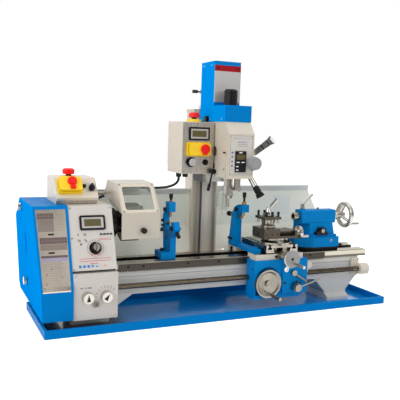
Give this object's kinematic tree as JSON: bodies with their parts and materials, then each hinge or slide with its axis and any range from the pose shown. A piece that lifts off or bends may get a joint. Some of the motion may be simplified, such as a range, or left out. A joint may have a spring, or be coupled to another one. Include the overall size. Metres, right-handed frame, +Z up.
{
  "type": "benchtop metal lathe",
  "caption": "Benchtop metal lathe with a milling head on a rear column, blue and cream enamel, chuck guard, compound slide, tailstock, steady and follow rests, chip tray",
  "frame": {"origin": "middle of the chip tray's underside in X, straight under the lathe's spindle axis in Y, on the bench top", "axes": "X along the bed towards the tailstock, Y away from the operator, Z up"},
  "size_m": [1.2679, 0.55, 0.853],
  "materials": {
    "blue_enamel": "gloss",
    "cream_paint": "gloss",
    "guard_paint": "satin",
    "dark_paint": "satin",
    "ground_steel": "satin",
    "dark_steel": "satin",
    "chrome": "gloss",
    "bronze": "satin",
    "black_plastic": "satin",
    "yellow_plastic": "gloss",
    "red_plastic": "gloss",
    "clear_plastic": "gloss",
    "cable_rubber": "matte"
  },
  "bodies": {
    "base": {"chip_tray": "blue_enamel", "bed": "cream_paint", "gear_rack": "dark_steel", "screw_bracket": "cream_paint", "headstock": "cream_paint", "gear_cover": "blue_enamel", "cover_knobs": "chrome", "control_panel": "cream_paint", "gearbox": "cream_paint", "control_box": "cream_paint", "splash_guard": "guard_paint", "column": "cream_paint", "drive_motor": "dark_paint", "head_cable": "cable_rubber"},
    "spindle": {"spindle": "ground_steel", "chuck": "ground_steel", "chuck_jaws": "chrome"},
    "lead_screw": {"lead_screw": "chrome"},
    "chuck_guard": {"chuck_guard": "cream_paint", "guard_window": "clear_plastic"},
    "speed_dial": {"speed_dial": "black_plastic"},
    "selector_left": {"selector_left": "chrome"},
    "selector_right": {"selector_right": "chrome"},
    "direction_knob": {"direction_knob": "black_plastic"},
    "stop_button": {"stop_button": "red_plastic"},
    "switch_flap": {"switch_flap": "yellow_plastic"},
    "carriage": {"saddle": "cream_paint", "apron": "blue_enamel", "follow_rest": "blue_enamel", "follow_fingers": "bronze"},
    "apron_wheel": {"apron_wheel": "chrome"},
    "half_nut_lever": {"half_nut_lever": "chrome"},
    "feed_lever": {"feed_lever": "chrome"},
    "cross_slide": {"cross_slide": "ground_steel"},
    "cross_wheel": {"cross_wheel": "chrome"},
    "swivel_base": {"swivel_base": "dark_steel"},
    "top_slide": {"top_slide": "dark_steel"},
    "top_slide_wheel": {"top_slide_wheel": "chrome"},
    "tool_post": {"tool_post": "dark_steel"},
    "post_lever": {"post_lever": "chrome"},
    "tailstock": {"tailstock": "blue_enamel"},
    "tailstock_quill": {"tailstock_quill": "ground_steel"},
    "tail_wheel": {"tail_wheel": "chrome"},
    "quill_lever": {"quill_lever": "black_plastic"},
    "steady_rest": {"steady_rest": "blue_enamel", "steady_fingers": "bronze"},
    "mill_head": {"mill_head": "cream_paint", "motor_cover": "blue_enamel", "mill_box": "cream_paint"},
    "mill_quill": {"mill_quill": "ground_steel"},
    "mill_spindle": {"mill_spindle": "chrome"},
    "feed_hub": {"feed_hub": "chrome"},
    "fine_feed_wheel": {"fine_feed_wheel": "black_plastic"},
    "drill_guard": {"drill_guard": "clear_plastic"},
    "lock_lever": {"lock_lever": "black_plastic"},
    "mill_stop_button": {"mill_stop_button": "red_plastic"},
    "mill_switch_flap": {"mill_switch_flap": "yellow_plastic"},
    "mill_speed_dial": {"mill_speed_dial": "black_plastic"},
    "mill_direction_knob": {"mill_direction_knob": "black_plastic"},
    "lift_crank": {"lift_crank": "ground_steel"}
  },
  "joints": [
    {"name": "spindle_turn", "type": "hinge", "parent": "base", "child": "spindle", "pos_m": [-0.35, 0, 0.311], "axis": [1, 0, 0], "continuous": true},
    {"name": "lead_screw_turn", "type": "hinge", "parent": "base", "child": "lead_screw", "pos_m": [0, -0.08, 0.117], "axis": [1, 0, 0], "continuous": true},
    {"name": "guard_lift", "type": "hinge", "parent": "base", "child": "chuck_guard", "pos_m": [-0.3, 0.128, 0.392], "axis": [-1, 0, 0], "range_deg": [0, 70]},
    {"name": "speed_dial_turn", "type": "hinge", "parent": "base", "child": "speed_dial", "pos_m": [-0.455, -0.0935, 0.24794], "axis": [0, -0.9298, 0.3681], "range_deg": [-135, 135]},
    {"name": "selector_left_turn", "type": "hinge", "parent": "base", "child": "selector_left", "pos_m": [-0.487, -0.14, 0.106], "axis": [0, -1, 0], "range_deg": [-45, 45]},
    {"name": "selector_right_turn", "type": "hinge", "parent": "base", "child": "selector_right", "pos_m": [-0.43, -0.14, 0.106], "axis": [0, -1, 0], "range_deg": [-25, 95]},
    {"name": "direction_knob_turn", "type": "hinge", "parent": "base", "child": "direction_knob", "pos_m": [-0.443, 0.00716, 0.42137], "axis": [0, -0.788, 0.6157], "range_deg": [-45, 45]},
    {"name": "stop_button_press", "type": "slide", "parent": "base", "child": "stop_button", "axis": [0, 0, -1], "range_m": [0, 0.005]},
    {"name": "switch_flap_lift", "type": "hinge", "parent": "base", "child": "switch_flap", "pos_m": [-0.51, 0.01074, 0.4503], "axis": [-1, 0, 0], "range_deg": [0, 85]},
    {"name": "carriage_slide", "type": "slide", "parent": "base", "child": "carriage", "axis": [1, 0, 0], "range_m": [-0.034, 0.028]},
    {"name": "apron_wheel_turn", "type": "hinge", "parent": "carriage", "child": "apron_wheel", "pos_m": [0.138, -0.133, 0.102], "axis": [0, -1, 0], "range_deg": [-560, 470]},
    {"name": "half_nut_turn", "type": "hinge", "parent": "carriage", "child": "half_nut_lever", "pos_m": [0.238, -0.136, 0.134], "axis": [0, -1, 0], "range_deg": [0, 25]},
    {"name": "feed_lever_turn", "type": "hinge", "parent": "carriage", "child": "feed_lever", "pos_m": [0.245, -0.145, 0.085], "axis": [0, -1, 0], "range_deg": [-12, 15]},
    {"name": "cross_slide_feed", "type": "slide", "parent": "carriage", "child": "cross_slide", "axis": [0, -1, 0], "range_m": [-0.008, 0.044]},
    {"name": "cross_wheel_turn", "type": "hinge", "parent": "carriage", "child": "cross_wheel", "pos_m": [0.196, -0.18, 0.195], "axis": [0, -1, 0], "range_deg": [-760, 4000]},
    {"name": "compound_swivel", "type": "hinge", "parent": "cross_slide", "child": "swivel_base", "pos_m": [0.196, -0.062, 0.235], "axis": [0, 0, 1], "range_deg": [-60, 4]},
    {"name": "top_slide_feed", "type": "slide", "parent": "swivel_base", "child": "top_slide", "axis": [1, 0, 0], "range_m": [-0.015, 0.04]},
    {"name": "top_slide_wheel_turn", "type": "hinge", "parent": "swivel_base", "child": "top_slide_wheel", "pos_m": [0.29, -0.062, 0.262], "axis": [1, 0, 0], "range_deg": [-1830, 4830]},
    {"name": "tool_post_turn", "type": "hinge", "parent": "top_slide", "child": "tool_post", "pos_m": [0.169, -0.062, 0.3], "axis": [0, 0, 1], "continuous": true},
    {"name": "post_lever_turn", "type": "hinge", "parent": "top_slide", "child": "post_lever", "pos_m": [0.169, -0.062, 0.34], "axis": [0, 0, 1], "range_deg": [-90, 25]},
    {"name": "tailstock_slide", "type": "slide", "parent": "base", "child": "tailstock", "axis": [1, 0, 0], "range_m": [-0.028, 0.06]},
    {"name": "quill_feed", "type": "slide", "parent": "tailstock", "child": "tailstock_quill", "axis": [-1, 0, 0], "range_m": [-0.015, 0.06]},
    {"name": "tail_wheel_turn", "type": "hinge", "parent": "tailstock", "child": "tail_wheel", "pos_m": [0.538, 0, 0.311], "axis": [-1, 0, 0], "range_deg": [-1380, 5430]},
    {"name": "quill_lever_turn", "type": "hinge", "parent": "tailstock", "child": "quill_lever", "pos_m": [0.352, 0, 0.34], "axis": [0, 0, 1], "range_deg": [-60, 60]},
    {"name": "steady_slide", "type": "slide", "parent": "base", "child": "steady_rest", "axis": [1, 0, 0], "range_m": [-0.03, 0.12]},
    {"name": "head_lift", "type": "slide", "parent": "base", "child": "mill_head", "axis": [0, 0, 1], "range_m": [-0.004, 0.055], "deforming": ["head_cable"]},
    {"name": "quill_down", "type": "slide", "parent": "mill_head", "child": "mill_quill", "axis": [0, 0, -1], "range_m": [0, 0.05]},
    {"name": "mill_spindle_turn", "type": "hinge", "parent": "mill_quill", "child": "mill_spindle", "pos_m": [0.0385, 0, 0.4], "axis": [0, 0, 1], "continuous": true},
    {"name": "feed_hub_turn", "type": "hinge", "parent": "mill_head", "child": "feed_hub", "pos_m": [0.095, 0.005, 0.508], "axis": [1, 0, 0], "range_deg": [-5, 305]},
    {"name": "fine_feed_turn", "type": "hinge", "parent": "mill_head", "child": "fine_feed_wheel", "pos_m": [0.076, -0.115, 0.51], "axis": [0, -1, 0], "continuous": true},
    {"name": "drill_guard_swing", "type": "hinge", "parent": "mill_head", "child": "drill_guard", "pos_m": [0.002, -0.045, 0.375], "axis": [0, 0, 1], "range_deg": [0, 90]},
    {"name": "lock_lever_turn", "type": "hinge", "parent": "mill_head", "child": "lock_lever", "pos_m": [-0.018, 0.006, 0.475], "axis": [-1, 0, 0], "range_deg": [0, 60]},
    {"name": "mill_stop_press", "type": "slide", "parent": "mill_head", "child": "mill_stop_button", "axis": [0, 0, -1], "range_m": [0, 0.005]},
    {"name": "mill_flap_lift", "type": "hinge", "parent": "mill_head", "child": "mill_switch_flap", "pos_m": [-0.074, 0.003, 0.568], "axis": [-1, 0, 0], "range_deg": [0, 85]},
    {"name": "mill_speed_dial_turn", "type": "hinge", "parent": "mill_head", "child": "mill_speed_dial", "pos_m": [-0.098, 0.005, 0.506], "axis": [0, -1, 0], "range_deg": [-135, 135]},
    {"name": "mill_direction_turn", "type": "hinge", "parent": "mill_head", "child": "mill_direction_knob", "pos_m": [-0.046, 0.01, 0.506], "axis": [0, -1, 0], "range_deg": [-45, 45]},
    {"name": "lift_crank_turn", "type": "hinge", "parent": "base", "child": "lift_crank", "pos_m": [0.0385, 0.238, 0.71], "axis": [0, 0, 1], "range_deg": [-380, 4980]}
  ],
  "couplings": [
    {"joint": "apron_wheel_turn", "follows": "carriage_slide", "rad_per_m": 285.6},
    {"joint": "cross_wheel_turn", "follows": "cross_slide_feed", "rad_per_m": 1570.8},
    {"joint": "top_slide_wheel_turn", "follows": "top_slide_feed", "rad_per_m": 2094.4},
    {"joint": "tail_wheel_turn", "follows": "quill_feed", "rad_per_m": 1570.8},
    {"joint": "feed_hub_turn", "follows": "quill_down", "rad_per_m": 104.72},
    {"joint": "lift_crank_turn", "follows": "head_lift", "rad_per_m": 1570.8}
  ]
}
